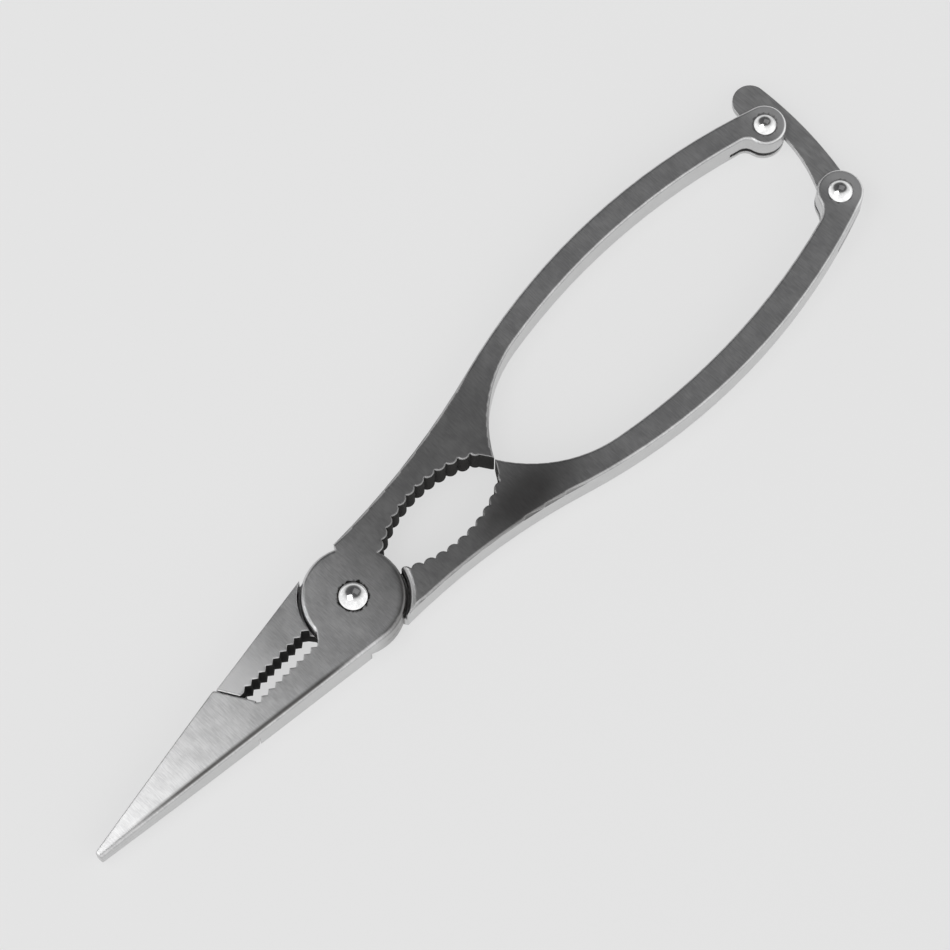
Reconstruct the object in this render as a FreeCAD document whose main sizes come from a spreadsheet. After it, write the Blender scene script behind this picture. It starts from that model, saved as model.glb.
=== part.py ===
import FreeCAD, Part
import math
import os
import re
import Sketcher

# Poultry shears: two all-steel halves lapped and riveted at a round boss, a nutcracker
# jaw behind the boss, a serrated bone grip in front of it, and a flat hook latch that
# swings on one handle and holds a catch pin in the other.
# Frame: X runs along the tool, tips at -X and handles at +X, Y is across, Z is up.
# The origin is on the pivot axis, in the flat underside that the closed tool rests on.

SIZES = {
    # whole tool
    "thick": 10.0,              # thickness of the handles, jaws and closed boss
    "lap_gap": 0.10,            # play between the lapped faces of the two halves
    "lap_relief": 0.80,         # radial room around the other half's boss
    "closing_gap": 0.30,        # gap between the two stop tips behind the jaw
    # boss and pivot rivet
    "boss_radius": 13.2,
    "pivot_radius": 3.0,
    "pivot_head": 3.7,
    "pivot_dome": 1.7,
    "turning_play": 0.05,       # radial play of a hole on its rivet or pin
    "tail_recess": 0.40,        # how far a rivet tail stays inside the underside
    "head_gap": 0.05,           # play under a domed head
    # handle outline, measured on the centre line of the loop
    "handle_length": 163.7,     # pivot to the latch rivet and catch pin
    "pin_offset": 13.2,         # tool axis to the latch rivet and catch pin
    "bow_start": 62.0,          # where the outer edge turns from hollow to bowed
    "bow_start_half": 21.1,
    "upper_bow": 27.5,          # tool axis to the outer edge at its widest
    "lower_bow": 28.2,
    "bow_middle": 108.0,
    "heel_start": 6.2,
    "heel_inset": 0.1,          # side of the boss to the corner of the heel
    "loop_start": 50.3,         # stop tip, where the finger loop begins
    "loop_turn": 76.0,
    "loop_turn_half": 18.1,
    "loop_half": 20.9,          # tool axis to the inner edge at its widest
    "loop_end_rise": 0.7,       # pin to the end of the loop's inner edge, across
    "handle_edge": 0.80,        # rounding along the handle edges
    "heel_edge": 1.60,          # rounding of the handle along the other half's boss
    "upper_fork": 5.5,
    "lower_fork": 6.0,
    "upper_neck": 3.2,          # rounding where the loop meets the fork
    "lower_neck": 5.5,
    # nutcracker jaw
    "jaw_middle": 31.0,
    "jaw_radius": 33.0,
    "jaw_depth": 9.2,           # tool axis to the valleys at the middle of the jaw
    "jaw_tooth": 1.95,
    "jaw_tooth_inset": 1.05,
    "jaw_pitch": 5.7,           # degrees between teeth
    "jaw_teeth": 11,
    "jaw_front": 33.0,          # degrees from the middle of the jaw to its end at the boss
    "jaw_back": 29.5,           # degrees from the middle to its end at the stop tip
    "tooth_edge": 0.25,
    # serrated bone grip
    "grip_half": 1.85,          # tool axis to the tips of the teeth
    "grip_valley": 0.95,
    "grip_pitch": 2.45,
    "grip_first": 15.4,
    "grip_teeth": 9,
    "grip_root": 0.30,          # rim of the boss to where the last flank starts inside it
    # blades
    "spine_start": 1.6,         # where the spine leaves the round boss
    "step_outer": 41.2,         # pivot to the step at the blade's outer corner
    "upper_step_half": 7.6,
    "lower_step_half": 8.2,
    "step_inner": 35.0,
    "step_inner_half": 3.0,
    "step_gap": 0.30,
    "step_round": 0.80,
    "blade_length": 89.5,
    "tip_shift": 1.35,          # closed tips lie to one side of the tool axis
    "tip_width": 2.0,
    "tip_thick": 2.3,           # each blade at its tip
    "tip_round": 0.50,
    "taper_start": 22.0,
    "top_edge": 1.10,           # rounding along the spine and round the boss
    # latch, its slot, rivet and catch pin
    "slot_floor": 1.70,
    "slot_height": 2.20,
    "slot_depth": 10.4,
    "latch_play": 0.30,         # slot height less latch thickness
    "latch_root": 5.2,
    "pin_radius": 2.0,
    "latch_head": 3.15,
    "catch_head": 2.95,
    "pin_dome": 1.45,
    "hook_play": 0.35,
    "hook_reach": 2.8,          # how far the hook passes over the catch pin
    "neck_side": 3.3,           # latch rivet axis to the inner edge of the neck
    "neck_drop": 3.5,           # catch pin to the start of the neck's inner edge
    "neck_hollow": 1.8,         # how far the inner edge of the neck draws back
    "neck_back": 8.85,          # latch rivet axis to the outer edge of the head
    "back_bow": 0.90,
    "head_round": 4.65,         # round end of the latch
    "head_rise": 8.6,           # catch pin to the centre of the round end
}

doc = FreeCAD.newDocument("poultry_shears")
sheet = doc.addObject("Spreadsheet::Sheet", "Sizes")
for row, (alias, value) in enumerate(SIZES.items(), start=1):
    sheet.set(f"A{row}", alias)
    sheet.set(f"B{row}", str(value))
    sheet.setAlias(f"B{row}", alias)
doc.recompute()


def bound(text):
    """The same expression with every size read from the sheet."""
    names = "|".join(sorted(SIZES, key=len, reverse=True))
    return re.sub(rf"\b({names})\b", r"Sizes.\1", text)


def value(text):
    """The present value of an expression of sizes."""
    return float(sheet.evalExpression(bound(text)))


def new_body(name):
    body = doc.addObject("PartDesign::Body", name)
    body.Label = name
    return body


def new_sketch(body, name, role="XY_Plane", offset=("0", "0", "0")):
    """A sketch on one of the body's own origin planes, its origin moved by three expressions."""
    sketch = body.newObject("Sketcher::SketchObject", name)
    plane = next(item for item in body.Origin.OriginFeatures if item.Role == role)
    sketch.AttachmentSupport = [(plane, "")]
    sketch.MapMode = "FlatFace"
    for axis, text in zip("xyz", offset):
        sketch.setExpression(f"AttachmentOffset.Base.{axis}", bound(text))
    return sketch


def hold_point(sketch, geometry, position, place, hold="xy"):
    """Bind one or both coordinates of an end or centre to a pair of expressions."""
    for axis, kind, text in zip("xy", ("DistanceX", "DistanceY"), place):
        if axis not in hold:
            continue
        index = sketch.addConstraint(Sketcher.Constraint(kind, -1, 1, geometry, position, value(text)))
        sketch.setExpression(f"Constraints[{index}]", bound(text))


def add_circle(sketch, centre, radius):
    spot = FreeCAD.Vector(value(centre[0]), value(centre[1]), 0)
    circle = sketch.addGeometry(Part.Circle(spot, FreeCAD.Vector(0, 0, 1), value(radius)))
    hold_point(sketch, circle, 3, centre)
    index = sketch.addConstraint(Sketcher.Constraint("Radius", circle, value(radius)))
    sketch.setExpression(f"Constraints[{index}]", bound(radius))


def add_outline(sketch, steps):
    """A closed outline of lines and arcs. Each step says where its edge ends and may say:
    via, a place the arc passes through; near, a place that only picks the arc's first guess;
    centre and radius, for an arc about a held centre; axis_x, for an arc centred on that
    upright; smooth, if it runs into the next edge without a corner; and hold, which of the
    end's two coordinates are bound."""
    corners = [FreeCAD.Vector(value(step["to"][0]), value(step["to"][1]), 0) for step in steps]
    edges = []
    for index, step in enumerate(steps):
        start, end = corners[index - 1], corners[index]
        passed = step.get("via") or step.get("near")
        if not passed:
            edges.append(sketch.addGeometry(Part.LineSegment(start, end)))
            continue
        spot = FreeCAD.Vector(value(passed[0]), value(passed[1]), 0)
        edges.append(sketch.addGeometry(Part.Arc(start, spot, end)))
    ends = []
    for index, edge in enumerate(edges):
        forward = (sketch.getPoint(edge, 1) - corners[index - 1]).Length < 1e-6
        ends.append((1, 2) if forward else (2, 1))
    for index, (edge, step) in enumerate(zip(edges, steps)):
        hold_point(sketch, edge, ends[index][1], step["to"], step.get("hold", "xy"))
        if "axis_x" in step:
            hold_point(sketch, edge, 3, (step["axis_x"], "0"), "x")
        elif "centre" in step:
            hold_point(sketch, edge, 3, step["centre"])
            radius = sketch.addConstraint(Sketcher.Constraint("Radius", edge, value(step["radius"])))
            sketch.setExpression(f"Constraints[{radius}]", bound(step["radius"]))
        elif "via" in step:
            spot = FreeCAD.Vector(value(step["via"][0]), value(step["via"][1]), 0)
            marker = sketch.addGeometry(Part.Point(spot))
            sketch.toggleConstruction(marker)
            hold_point(sketch, marker, 1, step["via"])
            sketch.addConstraint(Sketcher.Constraint("PointOnObject", marker, 1, edge))
    for joint in ("Coincident", "Tangent"):
        for index, (edge, step) in enumerate(zip(edges, steps)):
            after = (index + 1) % len(edges)
            if (joint == "Tangent") == bool(step.get("smooth")):
                sketch.addConstraint(
                    Sketcher.Constraint(joint, edge, ends[index][1], edges[after], ends[after][0]))
    if sketch.solve() != 0 or not sketch.FullyConstrained:
        raise RuntimeError(f"{sketch.Name} is not fully constrained")


def pad(body, name, sketch, length):
    feature = body.newObject("PartDesign::Pad", name)
    feature.Profile = sketch
    feature.setExpression("Length", bound(length))
    doc.recompute()
    return feature


def pocket(body, name, sketch, length=None, upward=False):
    """Cut the sketch's shape, to a length or right through both ways."""
    before = body.Shape.Volume
    feature = body.newObject("PartDesign::Pocket", name)
    feature.Profile = sketch
    if length is None:
        feature.Type = "ThroughAll"
        feature.Midplane = True
    else:
        feature.setExpression("Length", bound(length))
        feature.Reversed = upward
    doc.recompute()
    if body.Shape.Volume >= before - 1e-6:
        raise RuntimeError(f"{name} cuts nothing")
    return feature


def revolve(body, name, sketch, kind="PartDesign::Revolution", angle=360):
    """Turn the sketch's shape about its own upright axis."""
    feature = body.newObject(kind, name)
    feature.Profile = sketch
    feature.ReferenceAxis = (sketch, ["V_Axis"])
    feature.Angle = angle
    doc.recompute()
    return feature


def pattern(body, kind, name, feature, axis, count):
    """Repeat a feature round or along an axis."""
    repeat = body.newObject(kind, name)
    repeat.Originals = [feature]
    if kind == "PartDesign::PolarPattern":
        repeat.Axis = axis
    else:
        repeat.Direction = axis
    repeat.setExpression("Occurrences", bound(count))
    body.Tip = repeat
    return repeat


def round_edges(body, name, radius, chosen):
    """Round the edges of the body for which chosen(edge) is true."""
    base = body.Tip
    names = [f"Edge{number}" for number, edge in enumerate(base.Shape.Edges, start=1) if chosen(edge)]
    if not names:
        raise RuntimeError(f"{name} finds no edge")
    feature = body.newObject("PartDesign::Fillet", name)
    feature.Base = (base, names)
    feature.setExpression("Radius", bound(radius))
    doc.recompute()
    return feature


def middle(edge):
    first, last = edge.ParameterRange
    return edge.valueAt((first + last) / 2)


def lies_flat(edge, *levels):
    """True if the whole edge lies in one of the given heights."""
    box = edge.BoundBox
    return any(abs(box.ZMin - level) < 1e-3 and abs(box.ZMax - level) < 1e-3 for level in levels)


def make_half(name, bow, fork, neck, step_half, other_step, shift, slot_floor, pivot_hole):
    """One half in its own frame: handle towards +X +Y, boss in the upper half of the
    thickness, blade towards -X with its spine towards -Y."""
    body = new_body(name)
    thick = value("thick")

    # round lap boss, padded whole and relieved further down
    sketch = new_sketch(body, name + "_boss_plan")
    add_circle(sketch, ("0", "0"), "boss_radius")
    pad(body, name + "_boss", sketch, "thick")

    # handle, fork eye and the arch of the nutcracker jaw
    jaw_centre = "(jaw_depth - jaw_radius)"
    loop_end = ("handle_length - " + fork + " * 0.98", "pin_offset + loop_end_rise")
    sketch = new_sketch(body, name + "_handle_plan")
    add_outline(sketch, [
        {"to": ("heel_start", "boss_radius - heel_inset")},
        {"to": ("bow_start", "bow_start_half"), "near": ("bow_start * 0.55", "bow_start_half * 0.726"),
         "smooth": True},
        {"to": ("handle_length + " + fork + " * 0.26", "pin_offset + " + fork + " * 0.97"),
         "via": ("bow_middle", bow), "smooth": True, "hold": ""},
        {"to": loop_end, "via": ("handle_length + " + fork, "pin_offset"),
         "centre": ("handle_length", "pin_offset"), "radius": fork, "hold": "y"},
        {"to": ("loop_turn", "loop_turn_half"), "via": ("bow_middle", "loop_half"), "smooth": True},
        {"to": ("loop_start", "closing_gap / 2"), "near": ("loop_start + 8", "loop_turn_half - 7")},
        {"to": ("jaw_middle + jaw_radius * sin(jaw_back)", jaw_centre + " + jaw_radius * cos(jaw_back)")},
        {"to": ("jaw_middle - jaw_radius * sin(jaw_front)", jaw_centre + " + jaw_radius * cos(jaw_front)"),
         "via": ("jaw_middle", "jaw_depth")},
        {"to": ("boss_radius / 2", "boss_radius / 5")},
        {"to": ("boss_radius / 5", "boss_radius / 2")},
    ])
    pad(body, name + "_handle", sketch, "thick")

    def neck_corner(edge):
        spot = middle(edge)
        upright = edge.BoundBox.ZLength > thick / 2
        return upright and abs(spot.x - value(loop_end[0])) < 2 and abs(spot.y - value(loop_end[1])) < 1

    round_edges(body, name + "_neck_round", neck, neck_corner)

    def handle_rim(edge):
        spot = middle(edge)
        from_jaw = math.hypot(spot.x - value("jaw_middle"), spot.y - value(jaw_centre))
        near_jaw = from_jaw < value("jaw_radius") + 1
        behind_boss = spot.x > value("boss_radius") and edge.Length > 1
        return lies_flat(edge, 0, thick) and behind_boss and not near_jaw

    round_edges(body, name + "_handle_round", "handle_edge", handle_rim)

    # full-thickness block that carries the bone grip, its spine running off the boss
    spine_half = "sqrt(boss_radius ^ 2 - spine_start ^ 2)"

    def spine(distance):
        fall = "(" + spine_half + " + " + shift + " - tip_width / 2) / (blade_length - spine_start)"
        return "-(" + spine_half + " - (" + distance + " - spine_start) * " + fall + ")"

    # its front end stands off the slanted edge of the other half's blade
    slant = "(step_outer - step_inner) / (" + other_step + " + step_inner_half)"
    front = "(step_outer - step_gap)"
    corner = "(" + front + " - (" + other_step + " + " + spine(front) + ") * " + slant + ")"
    sketch = new_sketch(body, name + "_block_plan")
    add_outline(sketch, [
        {"to": ("-boss_radius / 2", "-closing_gap / 2")},
        {"to": ("-(boss_radius - grip_root)", "-closing_gap / 2")},
        {"to": ("-(grip_first - grip_pitch / 2)", "-grip_half")},
        {"to": ("-(" + front + " - (" + other_step + " - grip_half) * " + slant + ")", "-grip_half")},
        {"to": ("-" + corner, spine(corner))},
        {"to": ("-spine_start", "-" + spine_half)},
        {"to": ("-spine_start", "-boss_radius / 2")},
    ])
    pad(body, name + "_block", sketch, "thick")

    # blade over the other half's blade, in the upper half of the thickness
    sketch = new_sketch(body, name + "_blade_plan", offset=("0", "0", "(thick + lap_gap) / 2"))
    add_outline(sketch, [
        {"to": ("-step_inner", "-step_inner_half")},
        {"to": ("-step_outer", step_half)},
        {"to": ("-blade_length", shift + " + tip_width / 2")},
        {"to": ("-blade_length", shift + " - tip_width / 2")},
        {"to": ("-step_inner", spine("step_inner"))},
    ])
    pad(body, name + "_blade", sketch, "(thick - lap_gap) / 2")

    def step_corner(edge):
        spot = middle(edge)
        return abs(spot.x + value("step_outer")) < 0.1 and abs(spot.y - value(step_half)) < 0.1

    round_edges(body, name + "_step_round", "step_round", step_corner)

    # the blade thins towards its tip
    sketch = new_sketch(body, name + "_taper_side", role="XZ_Plane")
    add_outline(sketch, [
        {"to": ("-taper_start", "thick")},
        {"to": ("-blade_length - 1", "thick / 2 + tip_thick"),
         "via": ("-(taper_start + blade_length) / 2", "thick - (thick / 2 - tip_thick) / 4")},
        {"to": ("-blade_length - 1", "thick + 1")},
        {"to": ("-taper_start", "thick + 1")},
    ])
    pocket(body, name + "_taper", sketch)

    def spine_or_boss(edge):
        spot = middle(edge)
        high = edge.BoundBox.ZMin > value("thick + lap_gap") / 2 + 0.1
        on_boss = lies_flat(edge, thick) and abs(math.hypot(spot.x, spot.y) - value("boss_radius")) < 0.01
        behind = value("spine_start") < -spot.x and edge.BoundBox.XLength > 1
        on_spine = behind and abs(spot.y - value(spine(f"({-spot.x})"))) < 0.02
        return high and (on_boss or on_spine)

    round_edges(body, name + "_top_round", "top_edge", spine_or_boss)

    def tip_corner(edge):
        return abs(middle(edge).x + value("blade_length")) < 0.1 and edge.BoundBox.ZLength > 1

    round_edges(body, name + "_tip_round", "tip_round", tip_corner)

    # teeth of the nutcracker jaw: eased round posts whose fronts stand out of one arc
    tooth_angle = "(90 - jaw_pitch * (jaw_teeth / 2))"
    tooth_reach = "(jaw_radius + jaw_tooth_inset)"
    tooth_x = "jaw_middle + " + tooth_reach + " * cos" + tooth_angle
    tooth_y = jaw_centre + " + " + tooth_reach + " * sin" + tooth_angle
    sketch = new_sketch(body, name + "_jaw_tooth_side", role="XZ_Plane",
                        offset=(tooth_x, "0", f"-({tooth_y})"))
    add_outline(sketch, [
        {"to": ("0", "0")},
        {"to": ("jaw_tooth - tooth_edge", "0")},
        {"to": ("jaw_tooth", "tooth_edge")},
        {"to": ("jaw_tooth", "thick - tooth_edge")},
        {"to": ("jaw_tooth - tooth_edge", "thick")},
        {"to": ("0", "thick")},
    ])
    tooth = revolve(body, name + "_jaw_tooth", sketch)
    centre = new_sketch(body, name + "_jaw_centre", offset=("jaw_middle", jaw_centre, "0"))
    teeth = pattern(body, "PartDesign::PolarPattern", name + "_jaw_teeth", tooth, (centre, ["N_Axis"]),
                    "jaw_teeth + 1")
    teeth.setExpression("Angle", bound("jaw_pitch * jaw_teeth"))
    doc.recompute()

    # valleys of the bone grip
    sketch = new_sketch(body, name + "_grip_valley_plan")
    add_outline(sketch, [
        {"to": ("-grip_first - grip_pitch / 2", "-grip_half + 0.01")},
        {"to": ("-grip_first", "-grip_half - grip_valley")},
        {"to": ("-grip_first + grip_pitch / 2", "-grip_half + 0.01")},
    ])
    valley = pocket(body, name + "_grip_valley", sketch)
    valleys = pattern(body, "PartDesign::LinearPattern", name + "_grip_valleys", valley, (sketch, ["H_Axis"]),
                      "grip_teeth")
    valleys.Reversed = True
    valleys.setExpression("Length", bound("grip_pitch * (grip_teeth - 1)"))
    doc.recompute()

    # room under the boss for the other half's boss
    relief = "(boss_radius + lap_relief)"
    sketch = new_sketch(body, name + "_lap_plan")
    add_circle(sketch, ("0", "0"), relief)
    pocket(body, name + "_lap", sketch, "(thick + lap_gap) / 2", upward=True)

    # the handle is rounded along the other half's boss
    sketch = new_sketch(body, name + "_heel_side", role="XZ_Plane")
    add_outline(sketch, [
        {"to": (relief + " - 0.1", "-0.1")},
        {"to": (relief + " + heel_edge", "-0.1")},
        {"to": (relief + " + heel_edge", "0")},
        {"to": (relief, "heel_edge"),
         "via": (relief + " + heel_edge * (1 - cos(45))", "heel_edge * (1 - sin(45))")},
        {"to": (relief + " - 0.1", "heel_edge")},
    ])
    before = body.Shape.Volume
    heel = revolve(body, name + "_heel_round", sketch, kind="PartDesign::Groove", angle=90)
    if body.Shape.Volume >= before:
        raise RuntimeError(f"{heel.Name} cuts nothing")

    # slot for the latch, and the holes for the pivot rivet and the fork's pin
    sketch = new_sketch(body, name + "_slot_side", role="XZ_Plane")
    add_outline(sketch, [
        {"to": ("handle_length - slot_depth", slot_floor)},
        {"to": ("handle_length + slot_depth", slot_floor)},
        {"to": ("handle_length + slot_depth", slot_floor + " + slot_height")},
        {"to": ("handle_length - slot_depth", slot_floor + " + slot_height")},
    ])
    pocket(body, name + "_slot", sketch)
    for label, centre, radius in (("pivot", ("0", "0"), pivot_hole),
                                  ("pin", ("handle_length", "pin_offset"), "pin_radius")):
        sketch = new_sketch(body, name + "_" + label + "_hole_plan")
        add_circle(sketch, centre, radius)
        pocket(body, name + "_" + label + "_hole", sketch)
    return body


def make_rivet(name, radius, head, dome):
    """A rivet about its own axis: plain shank through the thickness, domed head on top."""
    bottom = "tail_recess"
    top = "thick + head_gap"
    body = new_body(name)
    sketch = new_sketch(body, name + "_side", role="XZ_Plane")
    add_outline(sketch, [
        {"to": ("0", bottom)},
        {"to": (radius, bottom)},
        {"to": (radius, top)},
        {"to": (head, top)},
        {"to": ("0", top + " + " + dome), "near": (head + " * 0.6", top + " + " + dome + " * 0.7"),
         "axis_x": "0"},
    ])
    revolve(body, name + "_turned", sketch)
    return body


def make_latch(name):
    """Flat plate about the latch rivet's axis, its hook passing over the catch pin at +Y."""
    body = new_body(name)
    reach = "(2 * pin_offset)"
    seat = "(pin_radius + hook_play)"
    hook = "(" + reach + " + " + seat + ")"
    head = "(" + reach + " + head_rise)"
    sketch = new_sketch(body, name + "_plan")
    add_outline(sketch, [
        {"to": ("latch_root", "0"), "via": ("0", "-latch_root")},
        {"to": ("neck_back", head), "via": ("neck_back - back_bow", reach + " / 2")},
        {"to": ("neck_back - 2 * head_round", head),
         "via": ("neck_back - head_round", head + " + head_round")},
        {"to": ("-hook_reach", hook + " - 0.1")},
        {"to": ("0", hook)},
        {"to": (seat, reach), "via": (seat + " * cos(45)", reach + " + " + seat + " * sin(45)")},
        {"to": ("neck_side", reach + " - neck_drop")},
        {"to": ("-latch_root", "0"), "via": ("neck_side - neck_hollow", reach + " / 2")},
    ])
    pad(body, name + "_plate", sketch, "slot_height - latch_play")
    sketch = new_sketch(body, name + "_hole_plan")
    add_circle(sketch, ("0", "0"), "pin_radius + turning_play")
    pocket(body, name + "_hole", sketch)
    return body


upper = make_half("upper_half", "upper_bow", "upper_fork", "upper_neck", "upper_step_half", "lower_step_half",
                  "(-tip_shift)", "slot_floor", "pivot_radius + turning_play")
lower = make_half("lower_half", "lower_bow", "lower_fork", "lower_neck", "lower_step_half", "upper_step_half",
                  "tip_shift", "(thick - slot_floor - slot_height)", "pivot_radius")
lower.Placement = FreeCAD.Placement(FreeCAD.Vector(0, 0, value("thick")),
                                    FreeCAD.Rotation(FreeCAD.Vector(1, 0, 0), 180))
lower.setExpression("Placement.Base.z", bound("thick"))

pivot = make_rivet("pivot_rivet", "pivot_radius", "pivot_head", "pivot_dome")
latch_rivet = make_rivet("latch_rivet", "pin_radius", "latch_head", "pin_dome")
catch_pin = make_rivet("catch_pin", "pin_radius", "catch_head", "pin_dome")
latch = make_latch("latch")
for body, y, z in ((latch_rivet, "-pin_offset", "0"), (catch_pin, "pin_offset", "0"),
                   (latch, "-pin_offset", "slot_floor + latch_play / 2")):
    body.setExpression("Placement.Base.x", bound("handle_length"))
    body.setExpression("Placement.Base.y", bound(y))
    body.setExpression("Placement.Base.z", bound(z))
doc.recompute()

for item in doc.Objects:
    if "Invalid" in item.State or "Error" in item.State:
        raise RuntimeError(f"{item.Name} failed: {item.State}")
os.makedirs("parts", exist_ok=True)
for body in (upper, lower, pivot, latch_rivet, catch_pin, latch):
    if body.Shape.isNull() or not body.Shape.isValid() or len(body.Shape.Solids) != 1:
        raise RuntimeError(f"{body.Label} is not one valid solid")
    body.Shape.exportStep(f"parts/{body.Label}.step")
    print(body.Label, round(body.Shape.Volume, 1), body.Shape.BoundBox)
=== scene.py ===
import math

import bpy
from mathutils import Matrix, Vector

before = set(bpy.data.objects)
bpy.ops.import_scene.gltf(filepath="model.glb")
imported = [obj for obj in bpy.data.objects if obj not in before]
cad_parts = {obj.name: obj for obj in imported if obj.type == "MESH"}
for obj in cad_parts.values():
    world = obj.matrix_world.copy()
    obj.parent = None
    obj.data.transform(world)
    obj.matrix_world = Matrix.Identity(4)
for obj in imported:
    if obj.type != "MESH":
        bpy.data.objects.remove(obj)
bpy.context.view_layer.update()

# The two halves. Each is one forging of stainless steel, ground flat on both faces and
# belted across, so fine scratches run from edge to edge of every flat. The teeth and
# inner walls carry painted shade, near black and without shine, for the shade between them.


class Steel:
    """A material's node tree and the sums between its nodes. Each value in a sum is a
    number or a node's output."""

    def __init__(self, name):
        self.material = bpy.data.materials.new(name)
        self.material.use_nodes = True
        self.nodes = self.material.node_tree.nodes
        self.link = self.material.node_tree.links.new
        self.shader = self.nodes["Principled BSDF"]
        self.place = self.nodes.new("ShaderNodeTexCoord").outputs["Object"]

    def math(self, operation, first, second=0.0):
        """One math node: operation of two values."""
        step = self.nodes.new("ShaderNodeMath")
        step.operation = operation
        for socket, item in zip(step.inputs, (first, second)):
            if isinstance(item, (int, float)):
                socket.default_value = item
            else:
                self.link(item, socket)
        return step.outputs["Value"]

    def product(self, first, *others):
        """first times each of the others."""
        for item in others:
            first = self.math("MULTIPLY", first, item)
        return first

    def distance(self, x, y):
        """How far off (x, y) is: the root of x squared plus y squared."""
        return self.math("SQRT", self.math("ADD", self.product(x, x), self.product(y, y)))

    def ease(self, item, start, end):
        """0 before start, 1 past end, whichever is larger, and smooth between."""
        step = self.nodes.new("ShaderNodeMapRange")
        step.interpolation_type = "SMOOTHSTEP"
        step.inputs["From Min"].default_value = min(start, end)
        step.inputs["From Max"].default_value = max(start, end)
        step.inputs["To Min"].default_value = 0.0 if start < end else 1.0
        step.inputs["To Max"].default_value = 1.0 if start < end else 0.0
        self.link(item, step.inputs["Value"])
        return step.outputs["Result"]

    def noise(self, scale, detail, where):
        """A noise texture read at where, a node's output."""
        step = self.nodes.new("ShaderNodeTexNoise")
        step.inputs["Scale"].default_value = scale
        step.inputs["Detail"].default_value = detail
        self.link(where, step.inputs["Vector"])
        return step

    def tint(self, mask, colour):
        """Blend the steel's tint towards colour where mask is 1."""
        before = self.shader.inputs["Base Color"].links[0].from_socket
        blend = self.nodes.new("ShaderNodeMix")
        blend.data_type = "RGBA"
        self.link(mask, blend.inputs["Factor"])
        self.link(before, blend.inputs["A"])
        blend.inputs["B"].default_value = (*colour, 1)
        self.link(blend.outputs["Result"], self.shader.inputs["Base Color"])

    def dull(self, mask):
        """Take the metal's shine off where mask is 1, as part of painted shade: no metal and full
        roughness there.
        """
        gloss = self.shader.inputs["Roughness"].links[0].from_socket
        self.link(self.math("SUBTRACT", 1.0, mask), self.shader.inputs["Metallic"])
        self.link(self.math("MAXIMUM", gloss, mask), self.shader.inputs["Roughness"])


def brushed_steel(name, tone, roughness, scratch_depth, stretch, edge=0.0003):
    """Stainless steel with scratches along Y: noise drawn out by stretch along Y drives
    the tint, the roughness and a fine bump, over softly rounded edges."""
    steel = Steel(name)
    steel.shader.inputs["Metallic"].default_value = 1.0
    drawn = steel.nodes.new("ShaderNodeMapping")
    drawn.inputs["Scale"].default_value = stretch
    steel.link(steel.place, drawn.inputs["Vector"])
    scratches = steel.noise(1.0, 6.0, drawn.outputs["Vector"])
    scratches.inputs["Roughness"].default_value = 0.65
    scratches = scratches.outputs["Fac"]
    cloud_scale, cloud_share = 240.0, 0.38
    cloud = steel.noise(cloud_scale, 6.0, steel.place).outputs["Fac"]
    both = steel.nodes.new("ShaderNodeMix")
    both.data_type = "FLOAT"
    both.inputs["Factor"].default_value = cloud_share
    steel.link(scratches, both.inputs["A"])
    steel.link(cloud, both.inputs["B"])
    tones = steel.nodes.new("ShaderNodeValToRGB")
    darkest, palest = (0.84, 0.84, 0.845), (1.13, 1.13, 1.13)
    for stop, position, shade in zip(tones.color_ramp.elements, (0.40, 0.60), (darkest, palest)):
        stop.position = position
        stop.color = (*(tone * part for part in shade), 1)
    steel.link(both.outputs["Result"], tones.inputs["Fac"])
    steel.link(tones.outputs["Color"], steel.shader.inputs["Base Color"])
    gloss = steel.nodes.new("ShaderNodeMapRange")
    smoothest, roughest = roughness * 0.92, roughness * 1.08
    for socket, value in (("From Min", 0.3), ("From Max", 0.7),
                          ("To Min", smoothest), ("To Max", roughest)):
        gloss.inputs[socket].default_value = value
    steel.link(scratches, gloss.inputs["Value"])
    steel.link(gloss.outputs["Result"], steel.shader.inputs["Roughness"])
    rounded = steel.nodes.new("ShaderNodeBevel")
    rounded.samples = 6
    rounded.inputs["Radius"].default_value = edge
    bump = steel.nodes.new("ShaderNodeBump")
    bump.inputs["Strength"].default_value = 0.5
    bump.inputs["Distance"].default_value = scratch_depth
    steel.link(scratches, bump.inputs["Height"])
    steel.link(rounded.outputs["Normal"], bump.inputs["Normal"])
    steel.link(bump.outputs["Normal"], steel.shader.inputs["Normal"])
    return steel


def dress(node, steel):
    """Give a CAD node a material in every slot."""
    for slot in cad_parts[node].material_slots:
        slot.material = steel.material


half = brushed_steel("half_steel", 0.56, 0.30, 0.000012, (3400, 330, 900), edge=0.0005)
spot = half.nodes.new("ShaderNodeSeparateXYZ")
half.link(half.place, spot.inputs["Vector"])
along, side = spot.outputs["X"], spot.outputs["Y"]
across = half.math("ABSOLUTE", side)
surface = half.nodes.new("ShaderNodeNewGeometry")
facing = half.nodes.new("ShaderNodeSeparateXYZ")
half.link(surface.outputs["True Normal"], facing.inputs["Vector"])
level_to_upright = (0.5, 0.2)
wall = half.ease(half.math("ABSOLUTE", facing.outputs["Z"]), *level_to_upright)
flat = half.math("SUBTRACT", 1.0, wall)

# the outer walls are polished along the edge, brighter and more even than the flats
polished_share, polished_grey = 0.75, (0.60, 0.60, 0.60)
half.tint(half.product(wall, polished_share), polished_grey)
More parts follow.
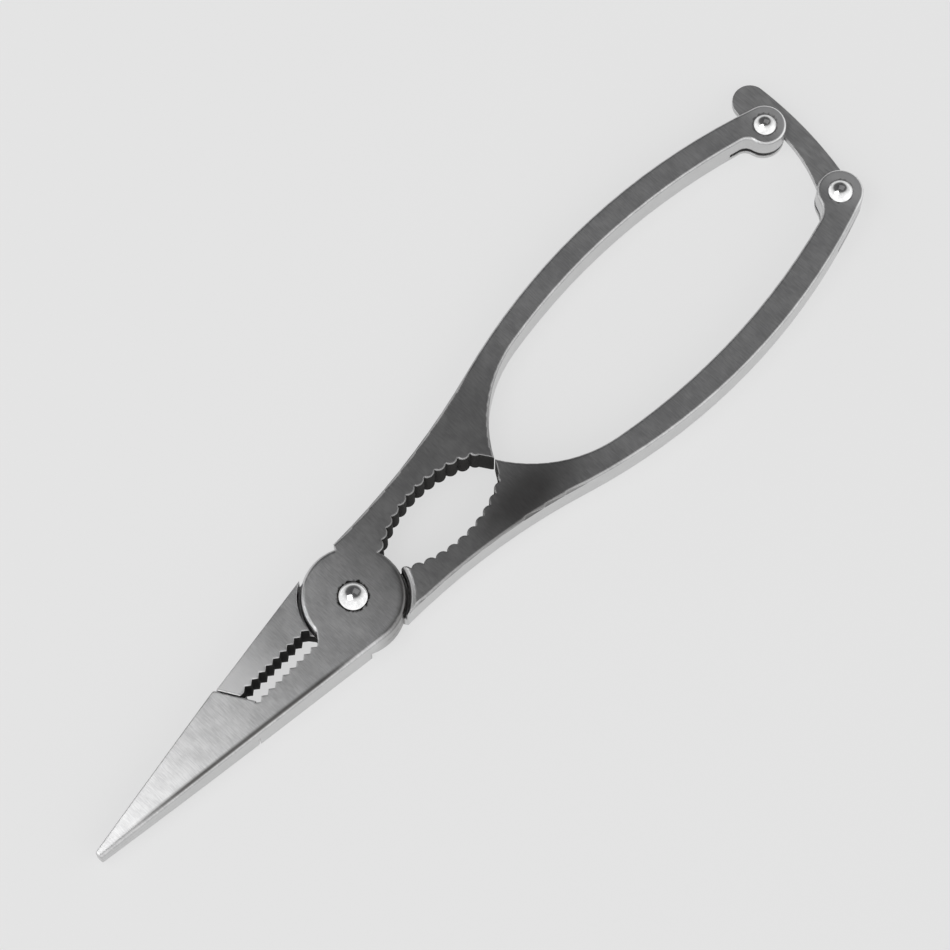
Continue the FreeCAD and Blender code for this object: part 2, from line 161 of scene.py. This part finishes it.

# painted shade on the walls of the jaw and the boss gaps behind the pivot, and of the bone grip
# in front of it, where the walls face each other across narrow gaps
jaw_side, jaw_end = (0.0112, 0.0104), (0.0509, 0.0504)
grip_side, grip_end = (0.0066, 0.0062), (-0.0425, -0.0415)
pivot_front = (-0.0125, -0.0135)
shade_black = (0.014, 0.013, 0.012)
in_front = half.ease(along, *pivot_front)
jaw_walls = half.product(half.ease(across, *jaw_side), half.ease(along, *jaw_end),
                         half.math("SUBTRACT", 1.0, in_front))
grip_walls = half.product(half.ease(across, *grip_side), half.ease(along, *grip_end), in_front)
shaded_walls = half.product(half.math("ADD", grip_walls, jaw_walls), wall)
# painted shade: these walls are tinted near black and dulled
half.tint(shaded_walls, shade_black)
half.dull(shaded_walls)

# painted shade in a band along the spine and on the near rim of the boss, where the belt rolled
# the edges over: the band stands in for the shade of that roll
spine_start, spine_half, spine_fall = 0.0016, 0.0131, 0.12233
band_inner, band_outer = (0.0020, 0.0010), (0.0003, 0.0007)
band_start, band_end = (-0.008, -0.020), (-0.0895, -0.060)
rim_inner, rim_outer = (0.0108, 0.0128), (0.0136, 0.0134)
rim_near, rim_back = (0.001, -0.004), (-0.006, 0.003)
spine_share, rim_share, spine_shade_grey = 0.9, 0.7, (0.10, 0.096, 0.092)
spine_line = half.product(half.math("ADD", along, spine_start), -spine_fall)
inside = half.math("SUBTRACT", side, half.math("SUBTRACT", spine_line, spine_half))
spine_shade_band = half.product(half.ease(inside, *band_inner), half.ease(inside, *band_outer),
                          half.ease(along, *band_start), half.ease(along, *band_end), spine_share)
from_pivot = half.distance(along, across)
rim_shade_band = half.product(half.ease(from_pivot, *rim_inner), half.ease(from_pivot, *rim_outer),
                        half.ease(side, *rim_near), half.ease(along, *rim_back), rim_share)
# paint the shade bands in darker grey
half.tint(half.math("ADD", spine_shade_band, rim_shade_band), spine_shade_grey)

# painted shade: the roots of the handles are darker, the lower one most, in a soft patch on its
# neck
root_start, root_end, root_share = (-0.006, 0.018), (0.085, 0.050), 0.45
deep_x, deep_y, deep_length, deep_width, deep_share = 0.049, -0.0125, 0.020, 0.0085, 0.42
deep_fade, root_shade_grey = (1.2, 0.2), (0.10, 0.097, 0.095)
root = half.product(half.ease(along, *root_start), half.ease(along, *root_end), root_share)
deep_off = half.distance(
    half.math("DIVIDE", half.math("SUBTRACT", along, deep_x), deep_length),
    half.math("DIVIDE", half.math("SUBTRACT", side, deep_y), deep_width))
deep = half.product(half.ease(deep_off, *deep_fade), deep_share)
# painted shade on the flats of the roots
half.tint(half.product(half.math("ADD", root, deep), flat), root_shade_grey)

# painted highlight: lighter steel round the fork's eyes and on the front of the bone grip
pin_x, pin_y = 0.1637, 0.0132
eye_round, eye_back = (0.0075, 0.0045), (-0.0045, 0.0025)
step_x, step_y, step_slant, step_edge = -0.035, -0.003, 0.585, (0.0005, 0.0011)
front_along, front_side = (-0.019, -0.036), (0.0016, 0.0030)
highlight_share, highlight_grey = 0.8, (0.95, 0.95, 0.95)
eye_x, eye_y = half.math("SUBTRACT", along, pin_x), half.math("SUBTRACT", across, pin_y)
from_pin = half.distance(eye_x, eye_y)
eye = half.product(half.ease(from_pin, *eye_round), half.ease(eye_x, *eye_back))
step_line = half.product(half.math("SUBTRACT", side, step_y), step_slant)
behind_step = half.math("ADD", half.math("SUBTRACT", along, step_x), step_line)
grip_front = half.product(half.ease(along, *front_along), half.ease(side, *front_side),
                          half.ease(behind_step, *step_edge))
# painted highlight on the flats
half.tint(half.product(half.math("MAXIMUM", eye, grip_front), flat, highlight_share), highlight_grey)

# an uneven dark brown ring on the halves round each rivet head
blot_scale, blot_depth, ring_brown = 900.0, 0.0018, (0.03, 0.028, 0.026)
fade_start, fade_end = 0.0013, 0.0007
blots = half.product(half.noise(blot_scale, 3.0, half.place).outputs["Fac"], blot_depth)
for off_centre, head, share in ((from_pivot, 0.0040, 1.0), (from_pin, 0.0031, 0.6)):
    ragged = half.math("ADD", off_centre, blots)
    dark_ring = half.product(half.ease(ragged, head + fade_start, head + fade_end), share)
    half.tint(dark_ring, ring_brown)
dress("upper_half", half)
dress("lower_half", half)

# The latch. It is stamped from 1.9 mm stainless sheet, tumbled and lightly brushed along
# its length, so it is a little darker and more even than the ground handles. It turns on
# its own rivet in the slot of the lower half's fork.
dress("latch", brushed_steel("latch_steel", 0.54, 0.36, 0.000012, (3000, 260, 900)))

# The two rivets and the catch pin. They are turned from stainless bar, pressed through
# the halves, set with a domed tool and polished, so their heads mirror the room.
polished = brushed_steel("polished_steel", 0.86, 0.12, 0.000002, (700, 700, 700), edge=0.00015)
for name in ("pivot_rivet", "latch_rivet", "catch_pin"):
    dress(name, polished)

# Studio: a pale glowing table just under the closed tool, clear when seen from below.
gap_under_tool = 0.0001
bpy.ops.mesh.primitive_plane_add(size=6)
floor = bpy.context.object
floor.name = "floor"
floor.location.z = -gap_under_tool
table = bpy.data.materials.new("table")
table.use_nodes = True
nodes, links = table.node_tree.nodes, table.node_tree.links
top = nodes["Principled BSDF"]
top.inputs["Base Color"].default_value = (0.18, 0.18, 0.18, 1)
top.inputs["Roughness"].default_value = 0.9
top.inputs["Emission Color"].default_value = (1, 1, 1, 1)
top.inputs["Emission Strength"].default_value = 0.615
clear = nodes.new("ShaderNodeBsdfTransparent")
sides = nodes.new("ShaderNodeMixShader")
below = nodes.new("ShaderNodeNewGeometry")
links.new(below.outputs["Backfacing"], sides.inputs["Fac"])
links.new(top.outputs["BSDF"], sides.inputs[1])
links.new(clear.outputs["BSDF"], sides.inputs[2])
links.new(sides.outputs["Shader"], nodes["Material Output"].inputs["Surface"])
floor.data.materials.append(table)

# Camera above the tool, leaning towards its lower side, with the tool's axis on the diagonal.
turn, lean = math.radians(45.72), math.radians(18.0)
right = Vector((math.cos(turn), -math.sin(turn), 0))
away = Vector((math.sin(turn), math.cos(turn), 0))
up = Vector((0, 0, 1))
back = up * math.cos(lean) - away * math.sin(lean)
target = Vector((0.04365, 0.0004, 0.010))
stand_off = 1.0003
camera_data = bpy.data.cameras.new("camera")
camera_data.sensor_width = 36.0
camera_data.lens = 151.58
camera_data.clip_end = 20
camera = bpy.data.objects.new("camera", camera_data)
bpy.context.scene.collection.objects.link(camera)
turned = Matrix((right, back.cross(right), back)).transposed().to_4x4()
camera.matrix_world = Matrix.Translation(target + back * stand_off) @ turned
bpy.context.scene.camera = camera


def softbox(name, sideways, ahead, size, radiance):
    """A square light hung over the target and facing it, as bright as a surface of that
    radiance: its power is pi times the radiance times the size squared."""
    hung = 1.05
    light = bpy.data.lights.new(name, "AREA")
    light.shape = "SQUARE"
    light.size = size
    light.energy = radiance * math.pi * size * size
    piece = bpy.data.objects.new(name, light)
    stand = target + right * sideways + away * ahead + up * hung
    towards = (target - stand).to_track_quat("-Z", "Y")
    piece.matrix_world = Matrix.Translation(stand) @ towards.to_matrix().to_4x4()
    bpy.context.scene.collection.objects.link(piece)


softbox("blade_light", -0.40, -0.08, 0.56, 2.35)
softbox("handle_light", 0.32, 0.75, 0.8, 0.16)

# A tent of pale cloth all round, dark above where the flats of the tool look.
world = bpy.data.worlds.new("studio")
world.use_nodes = True
nodes, links = world.node_tree.nodes, world.node_tree.links
direction = nodes.new("ShaderNodeTexCoord")
tent_slope = 0.72
height = nodes.new("ShaderNodeVectorMath")
height.operation = "DOT_PRODUCT"
height.inputs[1].default_value = (up + away * tent_slope).normalized()
links.new(direction.outputs["Generated"], height.inputs[0])
cloth = nodes.new("ShaderNodeValToRGB")
ramp = cloth.color_ramp
ramp.elements[0].position, ramp.elements[0].color = 0.0, (1.15, 1.15, 1.15, 1)
ramp.elements[1].position, ramp.elements[1].color = 1.0, (0.07, 0.07, 0.073, 1)
for position, light in ((0.35, 1.15), (0.66, 0.72), (0.78, 0.12)):
    element = ramp.elements.new(position)
    element.color = (light, light, light, 1)
links.new(height.outputs["Value"], cloth.inputs["Fac"])
links.new(cloth.outputs["Color"], nodes["Background"].inputs["Color"])
bpy.context.scene.world = world
bpy.context.scene.view_settings.view_transform = "Standard"
